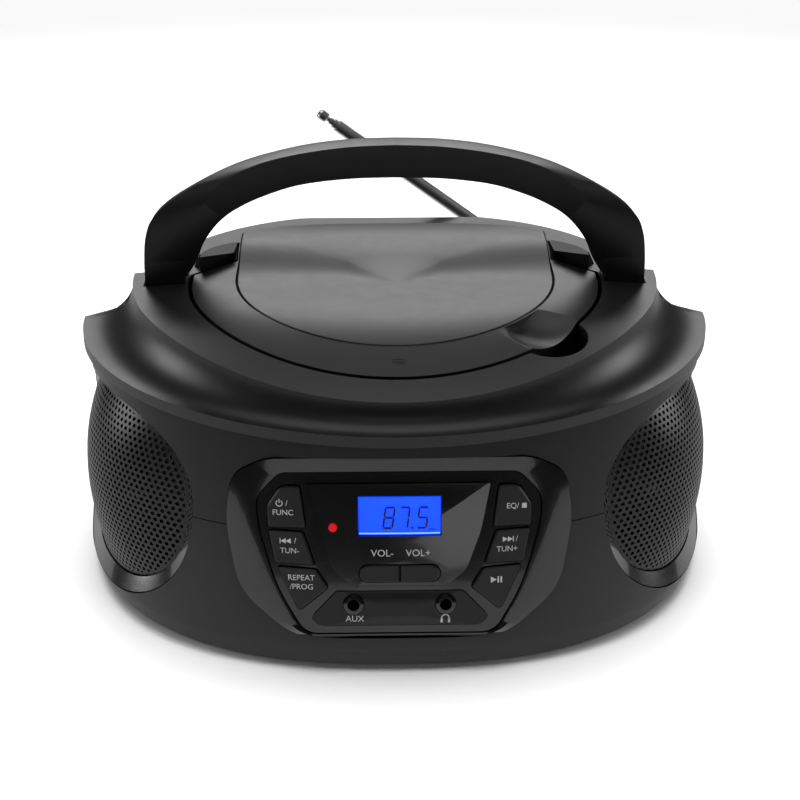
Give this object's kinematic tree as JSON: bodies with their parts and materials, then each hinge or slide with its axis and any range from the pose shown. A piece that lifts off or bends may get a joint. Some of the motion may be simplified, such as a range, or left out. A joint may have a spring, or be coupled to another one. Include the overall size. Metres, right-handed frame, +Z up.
{
  "type": "portable cd boombox",
  "caption": "Compact oval CD boombox with a hinged disc lid, a fold-down arch handle, side speakers behind domed metal grilles, a sloped control panel and a telescopic rear antenna.",
  "frame": {"origin": "centre of the footprint, on the surface it stands on", "axes": "+X to the listener's right, +Y towards the back, +Z up"},
  "size_m": [0.2356, 0.214, 0.1601],
  "materials": {
    "satin_black": "satin moulded",
    "gloss_black": "high gloss",
    "button_black": "matte moulded",
    "grille_metal": "satin paint",
    "chrome": "polished",
    "steel": "plain",
    "lcd_blue": "lit from behind",
    "led_red": "clear tinted",
    "board_green": "solder resist",
    "cone_paper": "matte",
    "rubber": "matte"
  },
  "bodies": {
    "cabinet": {"top_cover": "satin_black", "upper_cabinet": "satin_black", "lower_cabinet": "satin_black", "foot_left_front": "rubber", "foot_left_back": "rubber", "foot_right_front": "rubber", "foot_right_back": "rubber", "disc_tray": "satin_black", "lid_hinge_pin_left": "steel", "lid_hinge_pin_right": "steel", "handle_pin_left": "steel", "handle_pin_right": "steel", "speaker_surround_left": "gloss_black", "speaker_surround_right": "gloss_black", "speaker_grille_left": "grille_metal", "speaker_grille_right": "grille_metal", "speaker_driver_left": "steel", "speaker_driver_right": "steel", "panel_bezel": "gloss_black", "control_panel": "gloss_black", "display_lens": "gloss_black", "lcd_module": "lcd_blue", "standby_led": "led_red", "jack_plate": "satin_black", "aux_jack": "gloss_black", "headphone_jack": "gloss_black", "front_board": "board_green", "main_board": "board_green", "transformer": "steel", "mains_inlet": "button_black", "battery_spring": "steel", "battery_contact": "steel", "drive_chassis": "steel", "guide_rod": "chrome", "spindle_motor": "steel"},
    "carry_handle": {"handle": "satin_black"},
    "lid": {"lid_ring": "satin_black", "lid_panel": "satin_black"},
    "clamp": {"disc_clamp": "button_black"},
    "turntable": {"turntable_hub": "button_black"},
    "sled": {"laser_sled": "button_black"},
    "door": {"battery_door": "satin_black"},
    "antenna_swivel_base": {"antenna_base": "button_black"},
    "antenna_tube_1": {"antenna_section_1": "chrome"},
    "antenna_tube_2": {"antenna_section_2": "chrome"},
    "antenna_tube_3": {"antenna_section_3": "chrome"},
    "antenna_tip": {"antenna_section_4": "chrome"},
    "cone_left": {"speaker_cone_left": "cone_paper"},
    "cone_right": {"speaker_cone_right": "cone_paper"},
    "button_power_source_cap": {"button_power_source": "button_black"},
    "button_stop_tone_cap": {"button_stop_tone": "button_black"},
    "button_tune_down_cap": {"button_tune_down": "button_black"},
    "button_tune_up_cap": {"button_tune_up": "button_black"},
    "button_repeat_program_cap": {"button_repeat_program": "button_black"},
    "button_play_pause_cap": {"button_play_pause": "button_black"},
    "button_volume_down_cap": {"button_volume_down": "button_black"},
    "button_volume_up_cap": {"button_volume_up": "button_black"}
  },
  "joints": [
    {"name": "handle_fold", "type": "hinge", "parent": "cabinet", "child": "carry_handle", "pos_m": [0, -0.004, 0.0986], "axis": [-1, 0, 0], "range_deg": [0, 90]},
    {"name": "lid_open", "type": "hinge", "parent": "cabinet", "child": "lid", "pos_m": [0, 0.0355, 0.106], "axis": [-1, 0, 0], "range_deg": [0, 24.1]},
    {"name": "clamp_spin", "type": "hinge", "parent": "lid", "child": "clamp", "pos_m": [0, -0.023, 0.098], "axis": [0, 0, 1], "continuous": true},
    {"name": "disc_spin", "type": "hinge", "parent": "cabinet", "child": "turntable", "pos_m": [0, -0.023, 0.09], "axis": [0, 0, 1], "continuous": true},
    {"name": "laser_slide", "type": "slide", "parent": "cabinet", "child": "sled", "axis": [1, 0, 0], "range_m": [0, 0.027]},
    {"name": "battery_door_open", "type": "hinge", "parent": "cabinet", "child": "door", "pos_m": [0.014, 0.096, 0.0111], "axis": [-1, 0, 0], "range_deg": [0, 100]},
    {"name": "antenna_swivel", "type": "hinge", "parent": "cabinet", "child": "antenna_swivel_base", "pos_m": [0.052, 0.1036, 0.0784], "axis": [0, 1, 0], "range_deg": [-36, 143]},
    {"name": "antenna_tilt", "type": "hinge", "parent": "antenna_swivel_base", "child": "antenna_tube_1", "pos_m": [0.052, 0.1036, 0.0784], "axis": [-0.5934, 0, -0.8049], "range_deg": [0, 80]},
    {"name": "antenna_extend_1", "type": "slide", "parent": "antenna_tube_1", "child": "antenna_tube_2", "axis": [-0.8049, 0, 0.5934], "range_m": [0, 0.07]},
    {"name": "antenna_extend_2", "type": "slide", "parent": "antenna_tube_2", "child": "antenna_tube_3", "axis": [-0.8049, 0, 0.5934], "range_m": [0, 0.07]},
    {"name": "antenna_extend_3", "type": "slide", "parent": "antenna_tube_3", "child": "antenna_tip", "axis": [-0.8049, 0, 0.5934], "range_m": [0, 0.07]},
    {"name": "cone_travel_left", "type": "slide", "parent": "cabinet", "child": "cone_left", "axis": [-0.8965, -0.4431, 0], "range_m": [-0.0003, 0.0003], "stiffness_N_per_m": 2000},
    {"name": "cone_travel_right", "type": "slide", "parent": "cabinet", "child": "cone_right", "axis": [0.8965, -0.4431, 0], "range_m": [-0.0003, 0.0003], "stiffness_N_per_m": 2000},
    {"name": "press_power_source", "type": "slide", "parent": "cabinet", "child": "button_power_source_cap", "axis": [0.1364, 0.9672, -0.2144], "range_m": [0, 0.0008], "stiffness_N_per_m": 600, "springref_m": -0.0004},
    {"name": "press_stop_tone", "type": "slide", "parent": "cabinet", "child": "button_stop_tone_cap", "axis": [-0.1364, 0.9672, -0.2144], "range_m": [0, 0.0008], "stiffness_N_per_m": 600, "springref_m": -0.0004},
    {"name": "press_tune_down", "type": "slide", "parent": "cabinet", "child": "button_tune_down_cap", "axis": [0.1307, 0.9679, -0.2146], "range_m": [0, 0.0008], "stiffness_N_per_m": 600, "springref_m": -0.0004},
    {"name": "press_tune_up", "type": "slide", "parent": "cabinet", "child": "button_tune_up_cap", "axis": [-0.1307, 0.9679, -0.2146], "range_m": [0, 0.0008], "stiffness_N_per_m": 600, "springref_m": -0.0004},
    {"name": "press_repeat_program", "type": "slide", "parent": "cabinet", "child": "button_repeat_program_cap", "axis": [0.1147, 0.9698, -0.215], "range_m": [0, 0.0008], "stiffness_N_per_m": 600, "springref_m": -0.0004},
    {"name": "press_play_pause", "type": "slide", "parent": "cabinet", "child": "button_play_pause_cap", "axis": [-0.1147, 0.9698, -0.215], "range_m": [0, 0.0008], "stiffness_N_per_m": 600, "springref_m": -0.0004},
    {"name": "press_volume_down", "type": "slide", "parent": "cabinet", "child": "button_volume_down_cap", "axis": [0.025, 0.976, -0.2164], "range_m": [0, 0.0008], "stiffness_N_per_m": 600, "springref_m": -0.0004},
    {"name": "press_volume_up", "type": "slide", "parent": "cabinet", "child": "button_volume_up_cap", "axis": [-0.025, 0.976, -0.2164], "range_m": [0, 0.0008], "stiffness_N_per_m": 600, "springref_m": -0.0004}
  ],
  "couplings": [
    {"joint": "lid_open", "follows": "handle_fold", "ratio": 0.26667}
  ]
}
